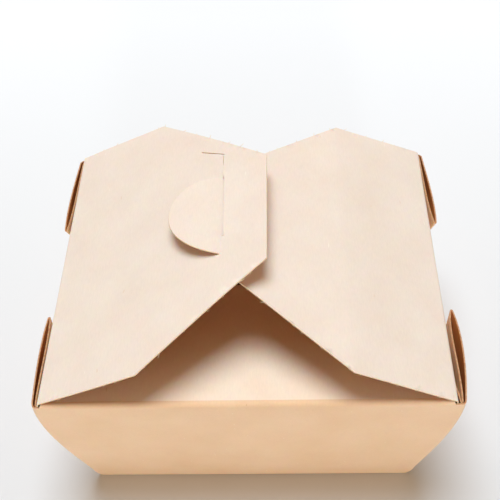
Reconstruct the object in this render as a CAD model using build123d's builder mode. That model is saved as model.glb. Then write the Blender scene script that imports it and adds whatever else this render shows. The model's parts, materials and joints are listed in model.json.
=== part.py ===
"""Folded kraft paperboard takeaway carton with a tab-and-slit roof. Millimetres, +Z up."""

import os

from build123d import *

# The tub: a tapered tray folded from one sheet.
rim_width = 130.0  # X, over the side walls at the rim
rim_depth = 112.0  # Y, over the front and back walls at the rim
base_width = 112.0
base_depth = 94.0
rim_height = 64.0
board = 0.45  # card thickness
rim_corner_radius = 1.6  # outside radius of the corner folds at the rim
base_corner_radius = 1.2
fold_radius = 1.1  # middle of the card, where a wall turns into a flap

# The web corners: a doubled triangle of card that lies on the outside of each side wall.
web_length = 38.0  # along the side wall at the rim
web_bulge = 2.4  # how far the outer layer swells away from its straight line at the rim
web_gap = 0.35  # clear space between the wall and the web's inner layer
web_swell = 3.6  # extra swell of the corner fold, halfway down
web_drop = 0.8  # the web's top edge is this much below the rim
web_foot_height = 1.0  # the web has run out by this height above the base

# The roof: two main flaps that rise from the side walls and cross at the middle.
crease_reach = 33.0  # X from the rim to each flap's crease
outer_crease_rise = 15.8
inner_crease_rise = 14.4
outer_tip_reach = 72.2  # X from the outer flap's own rim to its free edge
outer_tip_rise = 30.6
tip_length = 46.0  # Y, length of each flap's free edge
flap_end_inset = 0.6  # the flap's ends stay this much inside the rim
crease_radius = 3.0
hinge_gap = 0.6  # from the outer flap's hinge line to its first card

# The lock: a half-round tab on the inner flap and an L-shaped slit in the outer flap.
tab_radius = 17.0
slit_reach = 57.4  # X from the outer flap's own rim to the slit
slit_front = 9.6  # Y from the middle to the slit's front end
slit_back = 28.7
slit_width = 0.5
slit_leg_x = 8.3  # the short leg runs this far towards the hinge
slit_leg_y = 4.4
lock_clearance = 0.3  # free space each side of the card where the tab passes the slit
neck_span = 3.6  # cut through the outer flap, long enough for the tab's slope
hook_span = 9.0  # cut beside the tab's neck, long enough for the outer flap's slope

# The dust flaps: they curve down into the box from the front and back walls.
dust_length = 53.0
dust_drop = 9.0  # how far the free edge hangs below the rim
dust_bow = 3.0  # how far the flap bulges up from a straight line
dust_taper = 7.0  # the free edge is this much shorter at each end than the root
dust_clearance = 1.0  # the flap's ends clear the side walls by this much

os.makedirs("parts", exist_ok=True)

half_width = rim_width / 2
half_depth = rim_depth / 2
rim_line = half_width - board / 2  # X of the middle of a side wall's card at the rim
tub_top = rim_height - fold_radius - board / 2
lean_x = (rim_width - base_width) / 2 / rim_height
lean_y = (rim_depth - base_depth) / 2 / rim_height
tall = 2 * rim_height  # an outline cut this tall passes the whole part

outer_crease = Vector(crease_reach - half_width, rim_height + outer_crease_rise)
outer_tip = Vector(outer_tip_reach - half_width, rim_height + outer_tip_rise)
inner_crease = Vector(half_width - crease_reach, rim_height + inner_crease_rise)
outer_run = (outer_tip - outer_crease).normalized()
slit_share = (slit_reach - crease_reach) / (outer_tip_reach - crease_reach)
crossing = outer_crease + (outer_tip - outer_crease) * slit_share
inner_run = (crossing - inner_crease).normalized()

# Planes through the crossing: local x runs to each panel's free end, local z stands on its top.
crossing_point = (crossing.X, 0, crossing.Y)
outer_plane = Plane(crossing_point, x_dir=(outer_run.X, 0, outer_run.Y), z_dir=(-outer_run.Y, 0, outer_run.X))
inner_plane = Plane(crossing_point, x_dir=(inner_run.X, 0, inner_run.Y), z_dir=(inner_run.Y, 0, -inner_run.X))


def flap_outline(direction, root_x, crease_x, tip_x):
    """Plan of a main flap: full width to its crease, then tapering to its free edge."""
    end = half_depth - flap_end_inset
    root = root_x - direction * board
    Polygon(
        (root, -end), (crease_x, -end), (tip_x, -tip_length / 2),
        (tip_x, tip_length / 2), (crease_x, end), (root, end),
        align=None,
    )


def neck_slot():
    """Where the tab's neck passes the outer flap, in the inner panel's plane (its y is -Y)."""
    front = slit_front
    back = -tab_radius - lock_clearance
    with Locations((0, (front + back) / 2)):
        Rectangle(neck_span, front - back)


def hook_slot():
    """Where the outer flap's card passes each side of the tab's neck, under the hook."""
    front = slit_front - lock_clearance
    side = half_depth
    with Locations((0, -front - side / 2)):
        Rectangle(hook_span, side)
    with Locations((0, tab_radius + side / 2)):
        Rectangle(hook_span, side)


# Tub: base and four leaning walls.
with BuildPart() as tub:
    with BuildSketch(Plane.XY):
        RectangleRounded(base_width, base_depth, base_corner_radius)
    with BuildSketch(Plane.XY.offset(tub_top)):
        RectangleRounded(
            base_width + 2 * lean_x * tub_top, base_depth + 2 * lean_y * tub_top, rim_corner_radius
        )
    loft(ruled=True)
    with BuildSketch(Plane.XY.offset(board)):
        RectangleRounded(
            base_width + 2 * (lean_x - 1) * board, base_depth + 2 * (lean_y - 1) * board,
            base_corner_radius - board,
        )
    with BuildSketch(Plane.XY.offset(tub_top)):
        RectangleRounded(
            base_width + 2 * lean_x * tub_top - 2 * board, base_depth + 2 * lean_y * tub_top - 2 * board,
            rim_corner_radius - board,
        )
    loft(ruled=True, mode=Mode.SUBTRACT)


def web_line(height, layer):
    """Middle line of one layer of the +X, -Y web at a height: its corner fold, outer or inner."""
    share = (height - web_foot_height) / (rim_height - web_foot_height)
    wall_x = base_width / 2 + lean_x * height
    front_y = board / 2 - base_depth / 2 - lean_y * height
    inner_x = wall_x + web_gap + board / 2
    outer_x = inner_x + board + web_gap * share
    swell = web_swell * 4 * share * (1 - share)
    reach = 2 * board + (web_length - 2 * board) * share
    end = (inner_x, front_y + reach)
    if layer == "fold":
        Line((wall_x - rim_corner_radius, front_y), (outer_x + swell, front_y))
    elif layer == "outer":
        middle = (outer_x + swell + web_bulge * share, front_y + reach * 0.45)
        ThreePointArc((outer_x + swell, front_y), middle, end)
    else:
        middle = (inner_x + (swell + web_bulge * share) * 0.4, front_y + reach * 0.45)
        ThreePointArc((inner_x, front_y), middle, end)


# Web corners: the front wall's card folds round the corner, runs back and doubles on itself.
with BuildPart() as webs:
    for layer in ("fold", "outer", "inner"):
        for share in (0.04, 0.5, 1):
            height = web_foot_height + (rim_height - web_drop - web_foot_height) * share
            with BuildSketch(Plane.XY.offset(height)):
                with BuildLine():
                    web_line(height, layer)
                trace(line_width=board)
        loft()
    mirror(about=Plane.XZ)
    mirror(about=Plane.YZ)

# Dust flaps: the front one, mirrored to the back.
with BuildPart() as dust_flaps:
    with BuildSketch(Plane.YZ):
        with BuildLine():
            root = (-half_depth + board / 2, tub_top - 1)
            fold = (-half_depth + board / 2, tub_top)
            top = (-half_depth + board / 2 + fold_radius, rim_height - board / 2)
            edge = (dust_length - half_depth, rim_height - dust_drop)
            Line(root, fold)
            RadiusArc(fold, top, fold_radius)
            middle = ((top[0] + edge[0]) / 2, (top[1] + edge[1]) / 2 + dust_bow)
            ThreePointArc(top, middle, edge)
        trace(line_width=board)
    extrude(amount=half_width, both=True)
    with BuildSketch(Plane.XY):
        root_x = half_width - board - dust_clearance
        edge_x = root_x - dust_taper
        Polygon(
            (-root_x, -rim_depth), (root_x, -rim_depth), (root_x, -half_depth),
            (edge_x, dust_length - half_depth + board), (-edge_x, dust_length - half_depth + board),
            (-root_x, -half_depth), align=None,
        )
    extrude(amount=tall, mode=Mode.INTERSECT)
    mirror(about=Plane.XZ)

# Inner flap: from the right wall, over its crease and up to the slit in the outer flap.
with BuildPart() as inner_flap:
    with BuildSketch(Plane.XZ):
        with BuildLine():
            FilletPolyline(
                (rim_line, tub_top - 1), (rim_line, rim_height - board / 2),
                (inner_crease.X, inner_crease.Y), (crossing.X, crossing.Y), radius=fold_radius,
            )
        trace(line_width=board)
    extrude(amount=half_depth, both=True)
    with BuildSketch(Plane.XY):
        flap_outline(-1, half_width + board, inner_crease.X, crossing.X)
    extrude(amount=tall, mode=Mode.INTERSECT)
    with BuildSketch(outer_plane):
        hook_slot()
    extrude(amount=board / 2 + lock_clearance, both=True, mode=Mode.SUBTRACT)

# Lock tab: the half-round end of the inner flap, above the outer flap.
with BuildPart() as lock_tab:
    with BuildSketch(inner_plane):
        with BuildLine():
            Line((0, tab_radius), (0, -tab_radius))
            ThreePointArc((0, -tab_radius), (tab_radius, 0), (0, tab_radius))
        make_face()
    extrude(amount=board / 2, both=True)
    with BuildSketch(outer_plane):
        hook_slot()
    extrude(amount=board / 2 + lock_clearance, both=True, mode=Mode.SUBTRACT)

# Side wall under the outer flap's hinge, up to the rim.
with BuildPart() as hinge_rim:
    with BuildSketch(Plane.XY.offset(tub_top - 1)):
        with Locations((-rim_line, 0)):
            Rectangle(board, rim_depth - 2 * rim_corner_radius)
    extrude(amount=rim_height - tub_top + 1)

# Outer flap: a separate body, because it hinges on the left wall's rim.
hinge_line = Vector(-rim_line, rim_height)
with BuildPart() as outer_flap:
    with BuildSketch(Plane.XZ):
        with BuildLine():
            start = hinge_line + (outer_crease - hinge_line).normalized() * hinge_gap
            FilletPolyline(
                (start.X, start.Y), (outer_crease.X, outer_crease.Y), (outer_tip.X, outer_tip.Y),
                radius=crease_radius,
            )
        trace(line_width=board)
    extrude(amount=half_depth, both=True)
    with BuildSketch(Plane.XY):
        flap_outline(1, -half_width, outer_crease.X, outer_tip.X + board)
    extrude(amount=tall, mode=Mode.INTERSECT)
    with BuildSketch(Plane.XY.offset(rim_height)):
        with BuildLine():
            Polyline((crossing.X, -slit_front), (crossing.X, slit_back),
                     (crossing.X - slit_leg_x, slit_back + slit_leg_y))
        trace(line_width=slit_width)
    extrude(amount=tall, mode=Mode.SUBTRACT)
    with BuildSketch(inner_plane):
        neck_slot()
    extrude(amount=board / 2 + lock_clearance, both=True, mode=Mode.SUBTRACT)

# One sheet: everything but the outer flap and the tab's end.
with BuildPart() as carton:
    add(tub.part)
    add(hinge_rim.part)
    add(webs.part)
    add(dust_flaps.part)
    add(inner_flap.part)

for name, piece in {"carton": carton, "outer_flap": outer_flap, "lock_tab": lock_tab}.items():
    piece.part.label = name
    export_step(piece.part, f"parts/{name}.step")
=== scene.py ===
import json
from math import cos, pi, radians, sin

import bpy
import numpy as np
from mathutils import Matrix, Vector, noise
from mathutils.geometry import delaunay_2d_cdt


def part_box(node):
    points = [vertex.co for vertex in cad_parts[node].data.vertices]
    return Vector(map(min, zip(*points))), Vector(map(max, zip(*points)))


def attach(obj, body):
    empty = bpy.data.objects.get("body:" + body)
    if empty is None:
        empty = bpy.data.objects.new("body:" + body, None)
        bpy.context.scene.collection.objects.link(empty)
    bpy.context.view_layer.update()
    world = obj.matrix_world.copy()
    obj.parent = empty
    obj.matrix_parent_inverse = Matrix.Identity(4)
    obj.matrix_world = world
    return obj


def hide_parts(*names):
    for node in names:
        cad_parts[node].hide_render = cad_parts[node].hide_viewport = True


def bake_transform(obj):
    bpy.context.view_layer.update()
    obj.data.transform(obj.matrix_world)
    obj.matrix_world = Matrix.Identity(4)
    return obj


# A kraft takeaway carton: one scored and folded sheet, so every piece but the loose fibres is thin
# card that is drawn as its middle surface and given its thickness at the end.

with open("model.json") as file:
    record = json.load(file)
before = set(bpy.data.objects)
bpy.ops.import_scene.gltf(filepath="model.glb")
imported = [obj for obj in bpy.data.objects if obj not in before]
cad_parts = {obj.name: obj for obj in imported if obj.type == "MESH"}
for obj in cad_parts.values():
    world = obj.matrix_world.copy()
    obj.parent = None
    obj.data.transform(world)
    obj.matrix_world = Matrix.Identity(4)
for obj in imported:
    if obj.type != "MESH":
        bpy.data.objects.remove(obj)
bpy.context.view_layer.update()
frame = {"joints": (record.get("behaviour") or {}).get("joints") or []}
mm = 0.001

card = {
    "thickness": 0.45 * mm,
    "foldRadius": 1.1 * mm,  # middle of the card, at the rim
    "mesh": 2.0 * mm,  # how far apart the panels' points are
    "scatter": 0.2,  # how far those stray from a square grid, as a share of that
    "clear": 0.55,  # and how far they keep from the panel's edges
    "waviness": 0.16 * mm,  # how far the panels stray from flat
    "waveLength": 22 * mm,
    "calmRun": 8 * mm,  # a panel is flat where it leaves its fold, and wavy from here on
}
halfCard = card["thickness"] / 2

foldJoint = next(j for j in frame["joints"] if j["name"] == "outer_flap_fold")
hingeAt = Vector(foldJoint["pos_m"])
rimHeight = hingeAt.z
rimLine = -hingeAt.x  # middle of a side wall's card at the rim
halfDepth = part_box("carton")[1].y
depthLine = halfDepth - halfCard
wallTop = rimHeight - card["foldRadius"] - halfCard
rng = np.random.default_rng(7)


def smooth(t):
    t = np.clip(t, 0.0, 1.0)
    return t * t * (3 - 2 * t)


def roundedRun(points, radii, step=0.15 * mm, parts=12):
    # A dense run through 2D points, with each inner corner turned on its own radius.
    points = [np.array(p, float) for p in points]
    run = [points[0]]
    for before, corner, after, radius in zip(points, points[1:], points[2:], radii):
        inward = (before - corner) / np.linalg.norm(before - corner)
        onward = (after - corner) / np.linalg.norm(after - corner)
        half = np.arccos(np.clip(inward @ onward, -1, 1)) / 2
        cut = radius / np.tan(half)
        start, end = corner + inward * cut, corner + onward * cut
        centre = corner + (inward + onward) / np.linalg.norm(inward + onward) * radius / np.sin(half)
        run.append(start)
        for k in range(1, parts):
            mixed = (start - centre) * (1 - k / parts) + (end - centre) * (k / parts)
            run.append(centre + mixed / np.linalg.norm(mixed) * radius)
        run.append(end)
    run.append(points[-1])
    run = np.array(run)
    length = np.concatenate([[0], np.cumsum(np.linalg.norm(np.diff(run, axis=0), axis=1))])
    at = np.linspace(0, length[-1], int(length[-1] / step) + 2)
    return np.stack([np.interp(at, length, run[:, 0]), np.interp(at, length, run[:, 1])], 1), at


def alongRun(run, s):
    # Position and left-hand normal at the distances s along a dense run.
    points, at = run
    slope = np.gradient(points, at, axis=0)
    where = np.stack([np.interp(s, at, points[:, k]) for k in (0, 1)], -1)
    tangent = np.stack([np.interp(s, at, slope[:, k]) for k in (0, 1)], -1)
    tangent /= np.linalg.norm(tangent, axis=-1, keepdims=True)
    return where, np.stack([-tangent[..., 1], tangent[..., 0]], -1)


def distanceAtX(run, x):
    points, at = run
    order = np.argsort(points[:, 0])
    return float(np.interp(x, points[order, 0], at[order]))


def wander(points, size, seed):
    # Slow random waves for card that has been folded by hand.
    return np.array([
        noise.noise(Vector((p[0] / size + seed, p[1] / size - seed, p[2] / size))) for p in points
    ])


def cardMesh(name, middle, normals, faces, outsideIsUp=True):
    # Gives a middle surface its thickness: outside face, inside face and a cut edge all round.
    middle, normals = np.asarray(middle, float), np.asarray(normals, float)
    count = len(middle)
    points = np.concatenate([middle + normals * halfCard, middle - normals * halfCard])
    upper = [tuple(f) for f in faces]
    lower = [tuple(i + count for i in reversed(f)) for f in faces]
    uses = {}
    for f in upper:
        for a, b in zip(f, f[1:] + f[:1]):
            uses[(a, b)] = uses.get((a, b), 0) + 1
    rim = [(a, b) for (a, b) in uses if (b, a) not in uses]
    sides = [(b, a, a + count, b + count) for a, b in rim]
    mesh = bpy.data.meshes.new(name)
    mesh.from_pydata(points.tolist(), [], upper + lower + sides)
    topSlot, underSlot = (0, 1) if outsideIsUp else (1, 0)
    slots = [topSlot] * len(upper) + [underSlot] * len(lower) + [2] * len(sides)
    mesh.polygons.foreach_set("material_index", slots)
    mesh.polygons.foreach_set("use_smooth", [True] * len(slots))
    sharp = {tuple(sorted(e)) for a, b in rim for e in ((a, b), (a + count, b + count))}
    mesh.edges.foreach_set("use_edge_sharp", [tuple(sorted(e.vertices)) in sharp for e in mesh.edges])
    mesh.update()
    piece = bpy.data.objects.new(name, mesh)
    bpy.context.scene.collection.objects.link(piece)
    return piece


def gridNormals(grid, closed=False):
    # Normals of a grid of points, rows by columns; closed joins the last column to the first.
    if closed:
        around = np.roll(grid, -1, axis=1) - np.roll(grid, 1, axis=1)
    else:
        around = np.gradient(grid, axis=1)
    up = np.gradient(grid, axis=0)
    normals = np.cross(around, up)
    return normals / np.maximum(np.linalg.norm(normals, axis=2, keepdims=True), 1e-12)


def gridFaces(rows, columns, closed=False):
    last = columns if closed else columns - 1
    return [
        (r * columns + c, r * columns + (c + 1) % columns,
         (r + 1) * columns + (c + 1) % columns, (r + 1) * columns + c)
        for r in range(rows - 1) for c in range(last)
    ]


def cardFromGrid(name, grid, closed=False, outsideIsUp=True):
    grid = np.asarray(grid, float)
    rows, columns = grid.shape[:2]
    normals = gridNormals(grid, closed)
    return cardMesh(name, grid.reshape(-1, 3), normals.reshape(-1, 3),
                    gridFaces(rows, columns, closed), outsideIsUp)


def insideOutline(point, outline):
    inside = False
    for (ax, ay), (bx, by) in zip(outline, outline[1:] + outline[:1]):
        if (ay > point[1]) != (by > point[1]):
            if point[0] < (bx - ax) * (point[1] - ay) / (by - ay) + ax:
                inside = not inside
    return inside


def evenly(outline, step):
    # Adds points along the sides of an outline, so that it can bend.
    result = []
    for a, b in zip(outline, outline[1:] + outline[:1]):
        a, b = np.array(a), np.array(b)
        parts = max(1, int(round(np.linalg.norm(b - a) / step)))
        result += [tuple(a + (b - a) * k / parts) for k in range(parts)]
    return result


def flatPanel(outline, cut=None):
    # A die-cut panel, flat: the points and triangles inside its outline and outside its cut.
    step, scatter = card["mesh"], card["scatter"]
    rings = [evenly(outline, step)] + ([evenly(cut, step / 2)] if cut else [])
    points, edges = [], []
    for ring in rings:
        first = len(points)
        points += ring
        edges += [(first + k, first + (k + 1) % len(ring)) for k in range(len(ring))]
    border = np.array(points)
    low, high = border.min(0), border.max(0)
    for u in np.arange(low[0] + step / 2, high[0], step):
        for v in np.arange(low[1] + step / 2, high[1], step):
            spot = (u + rng.uniform(-scatter, scatter) * step, v + rng.uniform(-scatter, scatter) * step)
            if not insideOutline(spot, outline) or (cut and insideOutline(spot, cut)):
                continue
            if np.min(np.linalg.norm(border - spot, axis=1)) > card["clear"] * step:
                points.append(spot)
    # The triangles are found in millimetres, where the tolerance is well below the card's thickness.
    scaled = [Vector((p[0] * 1000, p[1] * 1000)) for p in points]
    found, _, triangles, *_ = delaunay_2d_cdt(scaled, edges, [], 0, 1e-6)
    flat = np.array([(p.x * mm, p.y * mm) for p in found])
    kept = []
    for tri in triangles:
        middle = flat[list(tri)].mean(0)
        if insideOutline(middle, outline) and not (cut and insideOutline(middle, cut)):
            kept.append(tuple(tri))
    return flat, kept


def fromHex(code):
    parts = [int(code[k:k + 2], 16) / 255 for k in (1, 3, 5)]
    return tuple(c / 12.92 if c <= 0.04045 else ((c + 0.055) / 1.055) ** 2.4 for c in parts) + (1.0,)


def addNode(tree, kind, settings=None, **links):
    # Adds a node; settings are its own options or socket values, links feed its sockets.
    node = tree.nodes.new(kind)
    for key, value in (settings or {}).items():
        if isinstance(key, str) and hasattr(node, key):
            setattr(node, key, value)
        else:
            node.inputs[key].default_value = value
    for key, source in links.items():
        socket = node.inputs[int(key[1:]) if key[0] == "i" and key[1:].isdigit() else key.replace("_", " ")]
        tree.links.new(source, socket)
    return node


def perMm(size):
    return 1.0 / (size * mm)  # texture scale for a pattern this many millimetres across


def kraftBoard(name, board):
    # Unbleached kraft paperboard, calendered: matt, warm, with a faint machine-direction grain,
    # clouds where the pulp is denser, and single pale and dark fibres.
    material = bpy.data.materials.new(name)
    material.use_nodes = True
    tree = material.node_tree
    tree.nodes.clear()
    place = addNode(tree, "ShaderNodeTexCoord").outputs["Object"]
    clouds = addNode(tree, "ShaderNodeTexNoise",
                     {"Scale": perMm(board["cloud"]), "Detail": 3.0, "Roughness": 0.55}, Vector=place)
    grainPlace = addNode(tree, "ShaderNodeMapping", {"Scale": (1.0, board["grainStretch"], 1.0)},
                         Vector=place)
    grain = addNode(tree, "ShaderNodeTexNoise",
                    {"Scale": perMm(board["grain"]), "Detail": 4.0, "Roughness": 0.6},
                    Vector=grainPlace.outputs[0])
    tone = addNode(tree, "ShaderNodeMix", {"data_type": "RGBA", 6: fromHex(board["deep"]),
                                           7: fromHex(board["face"])},
                   i0=addNode(tree, "ShaderNodeMapRange",
                              {"From Min": 0.25, "From Max": 0.75,
                               "To Min": 1.0 - board["cloudiness"], "To Max": 1.0},
                              Value=clouds.outputs[0]).outputs[0])
    grained = addNode(tree, "ShaderNodeMix", {"data_type": "RGBA", "blend_type": "MULTIPLY", 0: 1.0},
                      i6=tone.outputs[2],
                      i7=addNode(tree, "ShaderNodeMapRange",
                                 {"From Min": 0.3, "From Max": 0.7,
                                  "To Min": 1.0 - board["graininess"], "To Max": 1.0},
                                 Value=grain.outputs[0]).outputs[0])
    colour = grained.outputs[2]
    # Fibres: short curved streaks, thinned out by keeping only the strongest part of a twisted noise.
    for fleck, colourCode in ((board["paleFleck"], board["paleFibre"]),
                              (board["darkFleck"], board["darkFibre"])):
        warp = addNode(tree, "ShaderNodeTexNoise", {"Scale": perMm(5.0), "Detail": 1.0},
                       Vector=place)
        bent = addNode(tree, "ShaderNodeVectorMath",
                       {"operation": "MULTIPLY_ADD", 1: (fleck["bend"],) * 3},
                       i0=warp.outputs["Color"], i2=place)
        turned = addNode(tree, "ShaderNodeMapping",
                         {"Rotation": (0.0, 0.0, radians(fleck["turn"])),
                          "Scale": (1.0, 1.0 / fleck["longer"], 1.0)},
                         Vector=bent.outputs[0])
        cells = addNode(tree, "ShaderNodeTexVoronoi",
                        {"feature": "F1", "Scale": perMm(fleck["spacing"]), "Randomness": 1.0},
                        Vector=turned.outputs[0])
        streak = addNode(tree, "ShaderNodeMapRange",
                         {"From Min": fleck["width"] * 0.5, "From Max": fleck["width"],
                          "To Min": fleck["strength"], "To Max": 0.0},
                         Value=cells.outputs["Distance"])
        some = addNode(tree, "ShaderNodeMath", {"operation": "GREATER_THAN", 1: 1.0 - fleck["share"]},
                       i0=addNode(tree, "ShaderNodeSeparateColor",
                                  i0=cells.outputs["Color"]).outputs[0])
        amount = addNode(tree, "ShaderNodeMath", {"operation": "MULTIPLY"},
                         i0=streak.outputs[0], i1=some.outputs[0])
        colour = addNode(tree, "ShaderNodeMix", {"data_type": "RGBA", 7: fromHex(colourCode)},
                         i0=amount.outputs[0], i6=colour).outputs[2]
    relief = addNode(tree, "ShaderNodeBump", {"Strength": board["relief"], "Distance": 0.03 * mm},
                     Height=grain.outputs[0])
    shader = addNode(tree, "ShaderNodeBsdfPrincipled",
                     {"Roughness": board["roughness"], "IOR": 1.48,
                      "Specular IOR Level": board["gloss"],
                      "Subsurface Weight": board["glow"], "Subsurface Radius": board["glowSpread"],
                      "Subsurface Scale": board["glowDepth"] * mm},
                     Base_Color=colour, Normal=relief.outputs[0])
    addNode(tree, "ShaderNodeOutputMaterial", Surface=shader.outputs[0])
    return material


paleFleck = {"spacing": 3.4, "width": 0.075, "longer": 5.0, "turn": 35, "bend": 0.0016,
             "share": 0.45, "strength": 0.5}
darkFleck = {"spacing": 4.6, "width": 0.06, "longer": 4.0, "turn": -50, "bend": 0.002,
             "share": 0.35, "strength": 0.35}
# The flaps', dust flaps' and walls' faces are all the sheet's outside face; the flaps' tone is painted
# paler than the walls' for the overhead light that falls on them: painted light.
flapFace = {"face": "#f2e5d9", "deep": "#ebdacb", "cloud": 16, "cloudiness": 0.6, "grain": 0.5,
            "grainStretch": 0.22, "graininess": 0.05, "roughness": 0.62, "gloss": 0.4, "relief": 0.25,
            "paleFleck": paleFleck, "paleFibre": "#fff6e8", "darkFleck": darkFleck,
            "darkFibre": "#d8b48f",
            "glow": 0.4, "glowSpread": (1.0, 0.4, 0.15), "glowDepth": 0.5}
# The dust flaps' face is paler still: a painted highlight for the patch of light that falls on the front
# one under the roof.
dustFacePaintedPale = {**flapFace, "face": "#fce8d4", "deep": "#f6dabf"}
wallFace = {**flapFace, "face": "#f4d2af", "deep": "#e9c298", "darkFibre": "#c3925f"}
underFace = {**flapFace, "face": "#cf8549", "deep": "#ba7138", "gloss": 0.25, "roughness": 0.8,
             "paleFibre": "#e0b98a", "darkFibre": "#8a5a32"}
sheared = {**flapFace, "face": "#fbe6cc", "deep": "#eccfa8", "cloud": 1.2, "cloudiness": 0.9,
           "graininess": 0.1, "roughness": 0.9, "gloss": 0.1}
# The webs' cut edge: a darker, mottled brown, painted shade for the shaded pockets the webs stand in.
webEdgeShadeTone = {**sheared, "face": "#dcb08a", "deep": "#a9744a", "cloud": 0.9}

flapBoard = kraftBoard("kraftBoardFlapFacePaintedPale", flapFace)
dustBoardPaintedPale = kraftBoard("kraftBoardDustFlapFacePaintedPale", dustFacePaintedPale)
wallBoard = kraftBoard("kraftBoardWallFace", wallFace)
underBoard = kraftBoard("kraftBoardUnbleachedBack", underFace)
shearedEdge = kraftBoard("kraftBoardShearedEdge", sheared)
paintedShadeWebEdge = kraftBoard("kraftBoardWebEdgePaintedShade", webEdgeShadeTone)


def paint(piece, *boards):
    for board in boards:
        piece.data.materials.append(board)


def finish(piece, face, body):
    # The card's outside face, its unbleached back and its cut edge, and the body that carries it.
    paint(piece, face, underBoard, shearedEdge)
    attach(piece, body)
    return piece


tray = {
    "baseWidth": 112 * mm,
    "baseDepth": 94 * mm,
    "footRadius": 0.9 * mm,
    "cornerTight": 1.2 * mm,  # radius of the corner folds at the rim and the foot
    "cornerSoft": 1.3 * mm,  # and how much rounder they are between
    "rows": 44,
    "footRows": 6,
    "baseColumns": 40,
    "baseRows": 34,
    "wallBow": 0.9 * mm,  # the front and back walls swell this much
    "bowUp": 0.8,  # below 1 the swell is flatter in the middle, going up
    "bowAcross": 0.7,  # and across
}
# Each web: its length along the side wall, how far its outer layer swells at the rim and its corner
# fold halfway down, how far its corner and its doubled end stand off the wall, and how closely the
# inner layer follows the outer one at the corner. Their order goes round the box.
webs = {
    (1, -1): {"length": 36 * mm, "swell": 2.0 * mm, "middle": 3.3 * mm, "corner": 1.4 * mm,
              "end": 2.3 * mm, "follow": 0.75},
    (1, 1): {"length": 37 * mm, "swell": 0.9 * mm, "middle": 2.4 * mm, "corner": 0.1 * mm,
             "end": 1.9 * mm, "follow": 0.0},
    (-1, 1): {"length": 38 * mm, "swell": 0.9 * mm, "middle": 2.6 * mm, "corner": 0.3 * mm,
              "end": 1.5 * mm, "follow": 0.1},
    (-1, -1): {"length": 35 * mm, "swell": 0.9 * mm, "middle": 4.2 * mm, "corner": 0.5 * mm,
               "end": 1.3 * mm, "follow": 0.5},
}
webShape = {
    "drop": 0.8 * mm,  # from the rim down to the webs' top edge
    "layerGap": 0.12 * mm,
    "apartBy": 0.06,  # share of the height at which the layers stand fully apart
    "swellLift": 1.2,  # above 1 the corner fold swells more in its upper half
    "shortest": 1.6 * mm,  # a web's length at the foot
    "roundest": 0.45,  # the corner's radius is at most this share of the length
    "foldInset": 1.1,  # card thicknesses from the front wall to the inner fold
    "tipInset": 0.6,  # the doubled end starts this share of its radius off the inner layer
    # The two handles of each layer's curve: a share of the swell, then a share of the length.
    "outerHandles": ((0.9, 0.34), (1.1, 0.72)),
    "innerHandles": ((0.1, 0.78), (0.45, 0.4)),
    "settle": 6,  # behind the web, the wall is back on its own line after 1/6 of its run
    "topFrom": 0.8,  # from this share of the height the layers rise to their top edge
    "topSpan": 0.18,
    "points": {"wall": 18, "corner": 9, "outer": 24, "fold": 7, "inner": 20, "side": 20},
}
layerStep = card["thickness"] + webShape["layerGap"]  # from one folded layer's middle to the next


def arcPoints(centre, radius, fromAngle, toAngle, count):
    angles = np.linspace(radians(fromAngle), radians(toAngle), count)
    return np.stack([centre[0] + radius * np.cos(angles), centre[1] + radius * np.sin(angles)], 1)


def bezierPoints(a, b, c, d, count):
    t = np.linspace(0, 1, count)[:, None]
    a, b, c, d = (np.array(p, float) for p in (a, b, c, d))
    return a * (1 - t) ** 3 + 3 * b * t * (1 - t) ** 2 + 3 * c * t * t * (1 - t) + d * t ** 3


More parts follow.
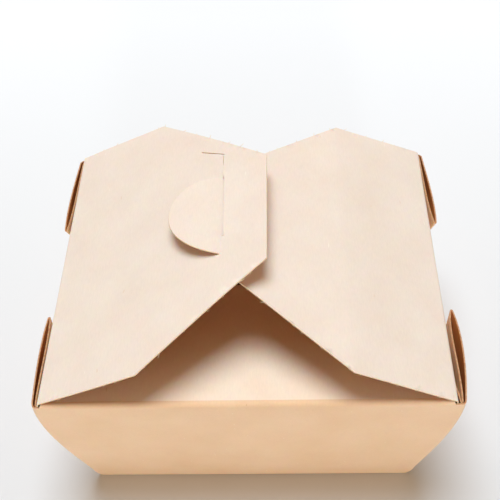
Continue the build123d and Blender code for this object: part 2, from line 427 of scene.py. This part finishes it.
def quarterPath(share, web, inset):
    # One quarter of the ring at a height, for the corner at +X, -Y: from the middle of the front
    # wall, round the corner fold, out along the web, back, and into the side wall.
    counts = webShape["points"]
    wallX = tray["baseWidth"] / 2 - halfCard + (rimLine + halfCard - tray["baseWidth"] / 2) * share - inset
    wallY = tray["baseDepth"] / 2 - halfCard + (halfDepth - tray["baseDepth"] / 2) * share - inset
    grown = float(smooth(share / webShape["apartBy"]))
    lifted = share ** webShape["swellLift"]
    swell = web["middle"] * 4 * lifted * (1 - lifted)
    innerX = wallX + layerStep * grown
    outerX = innerX + (layerStep + web["corner"] * share) * grown + swell
    reach = max(web["length"] * share, webShape["shortest"])
    radius = min(tray["cornerTight"] + tray["cornerSoft"] * sin(pi * share), reach * webShape["roundest"])
    cornerX = outerX - radius
    hairpin = layerStep / 2

    front = np.stack([np.linspace(0, cornerX, counts["wall"]), np.full(counts["wall"], -wallY)], 1)[:-1]
    bow = tray["wallBow"] * sin(pi * share) ** tray["bowUp"]
    front[:, 1] -= bow * np.cos(front[:, 0] / cornerX * pi / 2) ** tray["bowAcross"]
    corner = arcPoints((cornerX, -wallY + radius), radius, -90, 0, counts["corner"])[:-1]

    endY = -wallY + reach
    bulge = web["swell"] * share
    tipX = innerX + hairpin * webShape["tipInset"] + web["end"] * share
    near, far = webShape["outerHandles"]
    outer = bezierPoints((outerX, -wallY + radius),
                         (outerX + bulge * near[0], -wallY + reach * near[1]),
                         (tipX + bulge * far[0] + hairpin, -wallY + reach * far[1]),
                         (tipX + hairpin, endY), counts["outer"])[:-1]
    turn = arcPoints((tipX, endY), hairpin, 0, 180, counts["fold"])[:-1]

    # The inner fold stays inside the corner's arc.
    standOff = outerX - layerStep - innerX
    past = max(0.0, innerX + web["follow"] * standOff - cornerX)
    arcInset = radius - np.sqrt(radius ** 2 - min(past, radius) ** 2)
    foldX = innerX + web["follow"] * max(0.0, standOff)
    foldY = -wallY + arcInset + card["thickness"] * webShape["foldInset"]
    far, near = webShape["innerHandles"]
    inner = bezierPoints((tipX - hairpin, endY),
                         (innerX + bulge * far[0], -wallY + reach * far[1]),
                         (foldX + bulge * near[0], -wallY + reach * near[1]),
                         (foldX, foldY + hairpin), counts["inner"])[:-1]
    back = arcPoints((foldX - hairpin, foldY + hairpin), hairpin, 0, -180, counts["fold"])[:-1]

    sideX = foldX - 2 * hairpin
    settled = smooth(np.linspace(0, webShape["settle"], counts["side"]))
    side = np.stack([sideX + (wallX - sideX) * settled,
                     np.linspace(foldY + hairpin, 0, counts["side"])], 1)
    parts = [front, corner, outer, turn, inner, back, side]
    webParts = (2, 3, 4)
    isWeb = np.concatenate([np.full(len(p), k in webParts) for k, p in enumerate(parts)])
    return np.concatenate(parts), isWeb


def wallRing():
    # The four walls and the four webs are one strip that runs all the way round.
    rows = []
    heights = np.concatenate([
        halfCard + tray["footRadius"] * (1 - np.cos(np.linspace(0, pi / 2, tray["footRows"])))[:-1],
        np.linspace(tray["footRadius"] + halfCard, wallTop, tray["rows"]),
    ])
    for height in heights:
        share = height / rimHeight
        low = max(0.0, 1 - (height - halfCard) / tray["footRadius"])
        inset = tray["footRadius"] * (1 - np.sqrt(max(0.0, 1 - low ** 2)))
        ring, ringWeb = [], []
        for k, (corner, web) in enumerate(webs.items()):
            path, isWeb = quarterPath(share, web, inset)
            path = path * np.array([corner[0], -corner[1]])
            if k % 2:  # every second quarter runs the other way, so that the ring goes on round
                path, isWeb = path[::-1], isWeb[::-1]
            ring.append(path[:-1])
            ringWeb.append(isWeb[:-1])
        ring, ringWeb = np.concatenate(ring), np.concatenate(ringWeb)
        risen = smooth((share - webShape["topFrom"]) / webShape["topSpan"])
        lift = np.where(ringWeb, (rimHeight - webShape["drop"] - wallTop) * risen, 0.0)
        rows.append(np.column_stack([ring, height + lift]))
    return np.array(rows)


ringGrid = wallRing()
walls = finish(cardFromGrid("trayWallsAndWebs", ringGrid, closed=True), wallBoard, "tray")
walls.data.materials[2] = paintedShadeWebEdge  # the webs' cut edge is painted a darker, mottled brown: painted shade of the pockets the webs stand in
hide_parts("carton")
print("walls and web corners:", len(walls.data.polygons), "faces")

footLineX = ringGrid[0][:, 0].max()
footLineY = ringGrid[0][:, 1].max()
baseGrid = np.array([[(x, y, halfCard) for x in np.linspace(-footLineX, footLineX, tray["baseColumns"])]
                     for y in np.linspace(-footLineY, footLineY, tray["baseRows"])])
base = finish(cardFromGrid("trayBase", baseGrid, outsideIsUp=False), wallBoard, "tray")
print("base:", len(base.data.polygons), "faces")


dustFlap = {
    "length": 53 * mm,
    "drop": 9 * mm,
    "bow": 3 * mm,
    "bowSteps": 24,
    "bowStart": 0.04,  # the bow starts this share of the way from the fold
    "bendRadius": 4 * mm,
    "taper": 7 * mm,  # each end is this much shorter at the free edge
    "endGap": 0.9 * mm,  # beside the side walls
    "flare": 0.5 * mm,  # each end is this much longer at the wall's top
    "flareRun": 2 * mm,
    "wallBowShare": 0.2,  # how much of the wall's swell is left at its top
    "edgeLift": 1.6 * mm,  # the middle of the free edge curls up this much
    "wave": 0.35 * mm,
    "waveReach": 2.2,  # radians of wave from the middle to an end
    "waveGrowth": 1.4,  # above 1 the wave is full before the free edge
    "columns": 64,
    "foldRun": 3 * mm,
    "foldRows": 14,
    "rows": 28,
    "foldFaces": 9,  # rows of faces in the front flap's rim fold, which get the walls' darker tone as painted shade
}


def dustFlapGrid(side):
    # Rows run from the wall's top over the rim's fold to the free edge; side is -1 for the front.
    top = np.array((-depthLine + card["foldRadius"], rimHeight - halfCard))
    edge = np.array((dustFlap["length"] - halfDepth, rimHeight - dustFlap["drop"]))
    chord = edge - top
    across = np.array([-chord[1], chord[0]]) / np.linalg.norm(chord)
    swept = [top + chord * t + across * dustFlap["bow"] * 4 * t * (1 - t)
             for t in np.linspace(dustFlap["bowStart"], 1, dustFlap["bowSteps"])]
    run = roundedRun([(-depthLine, wallTop), (-depthLine, rimHeight - halfCard)] + swept,
                     [card["foldRadius"]] + [dustFlap["bendRadius"]] * (len(swept) - 1))
    total = run[1][-1]
    rows = np.concatenate([np.linspace(0, dustFlap["foldRun"], dustFlap["foldRows"])[:-1],
                           np.linspace(dustFlap["foldRun"], total, dustFlap["rows"])])
    place, _ = alongRun(run, rows)
    root = rimLine - halfCard - dustFlap["endGap"]
    halfTaper = dustFlap["taper"] / 2
    grid = []
    for s, (y, z) in zip(rows, place):
        share = s / total
        atWall = 1 - smooth(s / dustFlap["flareRun"])
        half = root - halfTaper * smooth(share) - halfTaper * share + dustFlap["flare"] * atWall
        xs = np.linspace(-half, half, dustFlap["columns"])
        wave = dustFlap["wave"] * np.sin(xs / half * dustFlap["waveReach"] + side)
        wave = wave * smooth(share * dustFlap["waveGrowth"])
        curl = dustFlap["edgeLift"] * share ** 3 * (1 - (xs / half) ** 2)
        wall = tray["wallBow"] * dustFlap["wallBowShare"] * atWall
        grid.append(np.stack([xs, np.full_like(xs, (wall - y) * side), z + (wave + curl)], 1)[::-side])
    return np.array(grid)


for dustName, side in (("dustFlapFront", -1), ("dustFlapBack", 1)):
    dust = finish(cardFromGrid(dustName, dustFlapGrid(side)), dustBoardPaintedPale, "tray")
    # The front flap's fold at the rim is given the walls' darker tone: painted shade against the paler rest
    # of the flap.
    dust.data.materials.append(wallBoard)
    wallSlot = len(dust.data.materials) - 1
    perRow = dustFlap["columns"] - 1
    shadedFoldRows = dustFlap["foldFaces"] if side < 0 else 0
    for polygon in dust.data.polygons[:shadedFoldRows * perRow]:
        polygon.material_index = wallSlot
    print(dustName, len(dust.data.polygons), "faces")


lock = {
    "tabRadius": 17 * mm,
    "slitReach": 57.4 * mm,  # from the outer flap's rim
    "slitFront": -9.6 * mm,
    "slitBack": 28.7 * mm,
    "slitLeg": (8.6 * mm, 4.4 * mm),  # towards the hinge, and back
    "slitWidth": 0.42 * mm,
    "slitOpen": 0.7 * mm,  # where the tab holds it open
    "lipSpread": 0.75 * mm,  # the slit's lips stand this far up and down where the tab passes
    "lipReach": 7 * mm,
    "lipFade": (3 * mm, 11 * mm),  # they come together again this far from its front and back ends
    "openUntil": -1 * mm,  # from the tab's back end: the slit is held open up to here
    "shutFrom": 2 * mm,  # and has closed to its own width here
    "leanThere": (0.3, 0.2),  # shares of the slit's lean that are left at those two
    "hookGap": 0.95 * mm,  # half of the slot beside the tab's neck
    "neckFront": -8.9 * mm,
    "tabCurl": 4.5 * mm,  # the tab bends down towards the outer flap
    "tabPoints": 40,
    "hookGapTab": 0.25 * mm,
    "hookLift": 0.5 * mm,  # its hook lies on the outer flap
    "hookRun": 1.5 * mm,
    "twist": 0.4 * mm,  # the inner flap stands this much higher at the front of the slit
    "twistSpan": 45 * mm,
    "slitLean": 0.6 * mm,  # and the slit leans this much towards its own free edge
}
outerFlap = {
    "creaseReach": 33 * mm,
    "creaseRise": 15.8 * mm,
    "tipReach": 72.2 * mm,
    "tipRise": 30.6 * mm,
    "tipLength": 46 * mm,
    "endInset": 0.6 * mm,
    "creaseInset": 0.7 * mm,
    "bow": 0.5 * mm,
    "creaseRadius": 3 * mm,
    "waveSeed": 3.1,
}
innerFlap = {
    "creaseReach": 32.4 * mm,
    "creaseRise": 14.4 * mm,
    "endInset": 0.6 * mm,
    "creaseInset": 1.8 * mm,
    "creaseRadius": 3 * mm,
    "waveSeed": 8.4,
    "calmAt": 6 * mm,  # its waves die out this far before the slit, where the outer flap holds it
    "calmFade": 5 * mm,
}
flapRun = {
    "fold": 3.2 * mm,  # run length that the rim's fold takes
    "foldRows": 15,
    "spare": 1 * mm,  # the inner flap's run goes this far past its tab
}

rimX = rimLine + halfCard
outerCrease = np.array((outerFlap["creaseReach"] - rimX, rimHeight + outerFlap["creaseRise"]))
outerTip = np.array((outerFlap["tipReach"] - rimX, rimHeight + outerFlap["tipRise"]))
slitX = lock["slitReach"] - rimX
slitZ = np.interp(slitX, (outerCrease[0], outerTip[0]), (outerCrease[1], outerTip[1]))
innerCrease = np.array((rimX - innerFlap["creaseReach"], rimHeight + innerFlap["creaseRise"]))
innerSlope = np.array((slitX, slitZ)) - innerCrease
innerSlope /= np.linalg.norm(innerSlope)
tabEnd = np.array((slitX, slitZ)) + innerSlope * (lock["tabRadius"] + flapRun["spare"])

# The outer flap's run goes from the left wall's top over the rim to its free edge, and the inner
# flap's from the right wall's top to the end of its tab. The inner one is drawn mirrored in X.
outerRun = roundedRun([(-rimLine, wallTop), (-rimLine, rimHeight), tuple(outerCrease), tuple(outerTip)],
                      [card["foldRadius"], outerFlap["creaseRadius"]])
innerRun = roundedRun([(-rimLine, wallTop), (-rimLine, rimHeight - halfCard),
                       (-innerCrease[0], innerCrease[1]), (-tabEnd[0], tabEnd[1])],
                      [card["foldRadius"], innerFlap["creaseRadius"]])
foldEnd = flapRun["fold"]
foldRows = np.linspace(0, foldEnd, flapRun["foldRows"])[:-1]


def withFold(flat, triangles):
    # Adds the rim's fold to a flat panel: close rows from the wall's top to where it starts.
    root = np.flatnonzero(np.abs(flat[:, 0] - foldEnd) < 1e-8)
    root = root[np.argsort(flat[root, 1])]
    rows = [np.column_stack([np.full(len(root), s), flat[root, 1]]) for s in foldRows]
    index = np.concatenate([len(flat) + np.arange(len(foldRows) * len(root)), root])
    index = index.reshape(len(foldRows) + 1, len(root))
    quads = [(index[r, c], index[r + 1, c], index[r + 1, c + 1], index[r, c + 1])
             for r in range(len(foldRows)) for c in range(len(root) - 1)]
    return np.concatenate([flat] + rows), triangles + [tuple(int(i) for i in q) for q in quads]


def layFlap(name, run, sideSign, flat, triangles, shape):
    # Folds a flat panel along its run; shape adds what bends it further, along its normal.
    place, outward = alongRun(run, flat[:, 0])
    middle = np.stack([place[:, 0] * sideSign, flat[:, 1], place[:, 1]], 1)
    normals = np.stack([outward[:, 0] * sideSign, np.zeros(len(flat)), outward[:, 1]], 1)
    middle += normals * shape(flat)[:, None]
    return cardMesh(name, middle, normals, [t if sideSign > 0 else t[::-1] for t in triangles])


def panelWaves(s, y, seed):
    # A panel's slow waves, which start past its fold.
    waves = card["waviness"] * wander(np.column_stack([s, y, s * 0]), card["waveLength"], seed)
    return waves * smooth((s - foldEnd) / card["calmRun"])


def outerShape(flat):
    s, y = flat[:, 0], flat[:, 1]
    start = distanceAtX(outerRun, outerCrease[0])
    end = outerRun[1][-1]
    slitS = distanceAtX(outerRun, slitX)
    t = np.clip((s - start) / (end - start), 0, 1)
    bowed = outerFlap["bow"] * 4 * t * (1 - t)
    fadeFront, fadeBack = lock["lipFade"]
    along = smooth((y - lock["slitFront"]) / fadeFront) * smooth((lock["slitBack"] - y) / fadeBack)
    slitLength = lock["slitBack"] - lock["slitFront"]
    slitS = slitS + lock["slitLean"] * np.clip((lock["slitBack"] - y) / slitLength, 0, 1)
    lips = lock["lipSpread"] * np.sign(s - slitS) * along * smooth(1 - np.abs(s - slitS) / lock["lipReach"])
    return bowed + lips + panelWaves(s, y, outerFlap["waveSeed"])


def innerShape(flat):
    s, y = flat[:, 0], flat[:, 1]
    slitS = distanceAtX(innerRun, -slitX)
    held = smooth((s - slitS + innerFlap["calmAt"]) / innerFlap["calmFade"])
    waves = panelWaves(s, y, innerFlap["waveSeed"]) * (1 - held)
    past = np.maximum(s - slitS, 0) / lock["tabRadius"]
    curl = -lock["tabCurl"] * past ** 2
    frontMost = smooth((lock["slitBack"] - y) / lock["twistSpan"])
    twist = lock["twist"] * frontMost * smooth((s - foldEnd) / slitS)
    onHook = smooth((lock["neckFront"] - y) / lock["hookRun"]) * (past > 0)
    return waves + curl + twist + lock["hookLift"] * onHook * (1 - past)


outerCreaseS = distanceAtX(outerRun, outerCrease[0])
outerSlitS = distanceAtX(outerRun, slitX)
outerRoot = halfDepth - outerFlap["endInset"]
outerShoulder = halfDepth - outerFlap["creaseInset"]
tipHalf = outerFlap["tipLength"] / 2
outerOutline = [(foldEnd, -outerRoot), (outerCreaseS, -outerShoulder), (outerRun[1][-1], -tipHalf),
                (outerRun[1][-1], tipHalf), (outerCreaseS, outerShoulder), (foldEnd, outerRoot)]
halfSlit = lock["slitWidth"] / 2
legS, legY = lock["slitLeg"]
slitFrontS = outerSlitS + lock["slitLean"]
leanOpen, leanShut = (lock["slitLean"] * share for share in lock["leanThere"])
slitCut = [(slitFrontS - halfSlit, lock["slitFront"]),
           (slitFrontS + lock["slitOpen"], lock["slitFront"]),
           (outerSlitS + lock["slitOpen"] + leanOpen, lock["tabRadius"] + lock["openUntil"]),
           (outerSlitS + halfSlit + leanShut, lock["tabRadius"] + lock["shutFrom"]),
           (outerSlitS + halfSlit, lock["slitBack"] + halfSlit),
           (outerSlitS - legS, lock["slitBack"] + legY + halfSlit),
           (outerSlitS - legS, lock["slitBack"] + legY - halfSlit),
           (outerSlitS - halfSlit, lock["slitBack"] - halfSlit)]
outer = layFlap("outerFlap", outerRun, 1, *withFold(*flatPanel(outerOutline, slitCut)), outerShape)
paint(outer, flapBoard, underBoard, shearedEdge)
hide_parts("outer_flap")
foldX, foldZ = alongRun(outerRun, foldEnd)[0]
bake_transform(outer)
print("outer flap:", len(outer.data.polygons), "faces")

innerCreaseS = distanceAtX(innerRun, -innerCrease[0])
innerSlitS = distanceAtX(innerRun, -slitX)
innerRoot = halfDepth - innerFlap["endInset"]
innerShoulder = halfDepth - innerFlap["creaseInset"]
below, above = innerSlitS - lock["hookGap"], innerSlitS + lock["hookGapTab"] - lock["slitLean"]
tabAngle = np.arcsin((above - innerSlitS) / lock["tabRadius"])
tabArc = [(innerSlitS + lock["tabRadius"] * cos(a), lock["tabRadius"] * sin(a))
          for a in np.linspace(-pi / 2 + tabAngle, pi / 2 - tabAngle, lock["tabPoints"])]
innerOutline = ([(foldEnd, -innerRoot), (innerCreaseS, -innerShoulder), (below, -tipHalf),
                 (below, lock["neckFront"]), (above, lock["neckFront"])]
                + tabArc
                + [(below, lock["tabRadius"]), (below, tipHalf), (innerCreaseS, innerShoulder),
                   (foldEnd, innerRoot)])
inner = layFlap("innerFlapAndTab", innerRun, -1, *withFold(*flatPanel(innerOutline)), innerShape)
finish(inner, flapBoard, "tray")
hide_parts("lock_tab")
print("inner flap and tab:", len(inner.data.polygons), "faces")


fibres = {
    "spacing": 7 * mm,  # along the cut edges
    "scatter": (0.1, 0.9),  # where in its own stretch of edge each one stands
    "length": (0.4 * mm, 1.5 * mm),
    "thickness": 0.26 * mm,  # coarser than real fibres, so that they show
    "tip": 0.35,  # thickness left at the tip
    "lean": 0.7,  # how far they lean and curl along the edge, as shares of their length
    "curl": 0.9,
    "rise": (-0.2, 0.6),  # and how far they stand off the card's face
    "rooted": 0.12,  # the share of the length that starts inside the card
    "rings": 6,
    "pastFold": 2 * mm,  # they start this far past the rim's fold
}


def fibreTube(path, thickness):
    # A thin tapering tube of four sides along a path.
    tangents = np.gradient(path, axis=0)
    across = np.cross(tangents, (0.3, 0.2, 1.0))  # a direction that no fibre runs along
    across /= np.linalg.norm(across, axis=1, keepdims=True)
    other = np.cross(across, tangents)
    other /= np.linalg.norm(other, axis=1, keepdims=True)
    width = np.linspace(1, fibres["tip"], len(path))[:, None] * thickness / 2
    points = np.stack([path + across * width, path + other * width,
                       path - across * width, path - other * width], 1).reshape(-1, 3)
    faces = gridFaces(len(path), 4, closed=True)
    return points, faces + [(3, 2, 1, 0), tuple(len(points) - 4 + k for k in range(4))]


def looseFibres(name, run, sideSign, corners, shape, body):
    # Short torn fibres that stand out of the cut edges of a flap, along the corners' polyline.
    points, faces = [], []
    for (s0, y0), (s1, y1) in zip(corners, corners[1:]):
        edge = np.array((s1 - s0, y1 - y0))
        length = np.linalg.norm(edge)
        outward = np.array((edge[1], -edge[0])) / length * np.sign(edge[0]) * (1 if y0 < 0 else -1)
        count = int(length / fibres["spacing"])
        for k in range(count):
            share = (k + rng.uniform(*fibres["scatter"])) / count
            reach = rng.uniform(*fibres["length"])
            lean = rng.uniform(-fibres["lean"], fibres["lean"])
            curl = rng.uniform(-fibres["curl"], fibres["curl"])
            t = np.linspace(0, 1, fibres["rings"])[:, None]
            flat = (np.array((s0, y0)) + edge * share + outward * reach * (t - fibres["rooted"])
                    + edge / length * reach * (lean * t + curl * t * t))
            place, up = alongRun(run, flat[:, 0])
            path = np.column_stack([place[:, 0] * sideSign, flat[:, 1], place[:, 1]])
            normals = np.column_stack([up[:, 0] * sideSign, up[:, 1] * 0, up[:, 1]])
            rise = shape(flat)[:, None] + reach * rng.uniform(*fibres["rise"]) * t * t
            tube, tubeFaces = fibreTube(path + normals * rise, fibres["thickness"])
            faces += [tuple(i + len(points) for i in f) for f in tubeFaces]
            points += tube.tolist()
    mesh = bpy.data.meshes.new(name)
    mesh.from_pydata(points, [], faces)
    mesh.polygons.foreach_set("use_smooth", [True] * len(faces))
    piece = bpy.data.objects.new(name, mesh)
    bpy.context.scene.collection.objects.link(piece)
    paint(piece, shearedEdge)
    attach(piece, body)


pastFold = foldEnd + fibres["pastFold"]
for end in (-1, 1):
    edgeName = "Front" if end < 0 else "Back"
    looseFibres("outerFlapFibres" + edgeName, outerRun, 1,
                [(pastFold, end * outerRoot), (outerCreaseS, end * outerShoulder),
                 (outerRun[1][-1], end * tipHalf)], outerShape, "roof")
    looseFibres("innerFlapFibres" + edgeName, innerRun, -1,
                [(pastFold, end * innerRoot), (innerCreaseS, end * innerShoulder),
                 (below, end * tipHalf)], innerShape, "tray")
print("loose fibres on the cut edges")

# The floor's tone is graded, darker near the camera and paler further off: painted shading across the
# studio sheet.
studioFloor = {
    "half": 3,  # metres from its middle to each side
    "near": "#dddfe2",
    "far": "#f4f8fd",
    "paler": (-0.06, 0.24),  # metres in Y between which it grows paler
    "roughness": 0.9,
}
floorHalf = studioFloor["half"]
floorMesh = bpy.data.meshes.new("floor")
floorCorners = [(-floorHalf, -floorHalf, 0), (floorHalf, -floorHalf, 0), (floorHalf, floorHalf, 0),
                (-floorHalf, floorHalf, 0)]
floorMesh.from_pydata(floorCorners, [], [(0, 1, 2, 3)])
floor = bpy.data.objects.new("floor", floorMesh)
bpy.context.scene.collection.objects.link(floor)
floorPaint = bpy.data.materials.new("whiteStudioSheet")
floorPaint.use_nodes = True
floorTree = floorPaint.node_tree
floorShader = floorTree.nodes["Principled BSDF"]
floorShader.inputs["Roughness"].default_value = studioFloor["roughness"]
floorDepth = addNode(floorTree, "ShaderNodeSeparateXYZ",
                     i0=addNode(floorTree, "ShaderNodeTexCoord").outputs["Object"])
floorShare = addNode(floorTree, "ShaderNodeMapRange", {"From Min": studioFloor["paler"][0],
                                                       "From Max": studioFloor["paler"][1]},
                     Value=floorDepth.outputs[1])
floorTone = addNode(floorTree, "ShaderNodeMix", {"data_type": "RGBA", 6: fromHex(studioFloor["near"]),
                                                 7: fromHex(studioFloor["far"])},
                    i0=floorShare.outputs[0])
floorTree.links.new(floorTone.outputs[2], floorShader.inputs["Base Color"])
floorMesh.materials.append(floorPaint)
print("floor sheet")

studio = {
    "skyTop": 0.36,
    "skyHorizon": 0.3,
    "skySpan": 0.8,  # height on the sky at which its top level is reached
    "skyColour": "#ffdcb0",  # the room's own warm light
    "skySeen": "#f6f6f7",  # what the camera sees past the sheet's end
    "keyStrength": 2.84,
    "keyColour": "#ebf6ff",
    "keyAngle": 34,  # degrees across, for the softness of its shadows
    "keyFrom": (-0.06, 0.2, 1.0),
    "fillStrength": 1.1,
    "fillColour": "#ffffff",
    "fillAngle": 8,
    "fillFrom": (0.06, -1.0, 0.1),  # low in front, so it lights the walls and not the flaps
}
world = bpy.data.worlds.new("studio")
bpy.context.scene.world = world
world.use_nodes = True
sky = world.node_tree
sky.nodes.clear()
skyHeight = addNode(sky, "ShaderNodeSeparateXYZ",
                    i0=addNode(sky, "ShaderNodeTexCoord").outputs["Generated"])
skyLevel = addNode(sky, "ShaderNodeMapRange", {"From Min": 0.0, "From Max": studio["skySpan"],
                                               "To Min": studio["skyHorizon"],
                                               "To Max": studio["skyTop"]},
                   Value=skyHeight.outputs[2])
skyLight = addNode(sky, "ShaderNodeBackground", {"Color": fromHex(studio["skyColour"])},
                   Strength=skyLevel.outputs[0])
skySeen = addNode(sky, "ShaderNodeBackground", {"Color": fromHex(studio["skySeen"]), "Strength": 1.0})
skyMix = addNode(sky, "ShaderNodeMixShader",
                 i0=addNode(sky, "ShaderNodeLightPath").outputs["Is Camera Ray"],
                 i1=skyLight.outputs[0], i2=skySeen.outputs[0])
addNode(sky, "ShaderNodeOutputWorld", Surface=skyMix.outputs[0])

for lampName in ("key", "fill"):
    lamp = bpy.data.lights.new(lampName, "SUN")
    lamp.energy = studio[lampName + "Strength"]
    lamp.angle = radians(studio[lampName + "Angle"])
    lamp.color = fromHex(studio[lampName + "Colour"])[:3]
    lampObject = bpy.data.objects.new(lampName, lamp)
    bpy.context.scene.collection.objects.link(lampObject)
    lampObject.rotation_euler = Vector(studio[lampName + "From"]).to_track_quat("Z", "Y").to_euler()
print("sky and lamps")

view = {
    "lens": 63.68,  # mm on a 36 mm sensor
    "place": (12.0 * mm, -141.8 * mm - halfDepth, 235.6 * mm + rimHeight),
    "down": 48.98,  # degrees
    "aside": -3.2,
    "roll": -3.3,
}
down, aside, roll = (radians(view[k]) for k in ("down", "aside", "roll"))
forward = Vector((sin(aside) * cos(down), cos(aside) * cos(down), -sin(down)))
level = Vector((cos(aside), -sin(aside), 0))
upright = level.cross(forward)
right = level * cos(roll) + upright * sin(roll)
top = upright * cos(roll) - level * sin(roll)
cameraData = bpy.data.cameras.new("camera")
cameraData.lens = view["lens"]
camera = bpy.data.objects.new("camera", cameraData)
bpy.context.scene.collection.objects.link(camera)
turned = Matrix((right, top, -forward)).transposed().to_4x4()
camera.matrix_world = Matrix.Translation(view["place"]) @ turned
bpy.context.scene.camera = camera
bpy.context.scene.view_settings.view_transform = "Standard"
print("camera")
